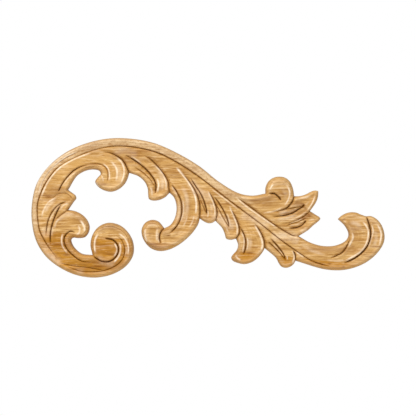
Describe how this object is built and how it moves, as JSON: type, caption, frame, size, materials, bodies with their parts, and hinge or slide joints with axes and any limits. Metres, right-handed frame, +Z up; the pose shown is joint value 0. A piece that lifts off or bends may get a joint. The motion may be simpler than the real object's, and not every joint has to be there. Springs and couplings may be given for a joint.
{
  "type": "carved scroll applique",
  "caption": "Carved oak applique: a running scroll with a volute and acanthus leaves, flat at the back, fixed on furniture, a mantel, a door or a wall panel.",
  "frame": {"origin": "on the flat back, at the middle of the length and of the height, where the mount back_face is", "axes": "+Z up as the scroll hangs in the picture, +X along the length from the volute to the tail, +Y into the surface that carries it; the carving faces -Y"},
  "size_m": [0.3, 0.015, 0.1186],
  "materials": {
    "oak": "sanded oak, light, without gloss"
  },
  "bodies": {
    "root": {"carved_scroll": "oak"}
  },
  "joints": []
}
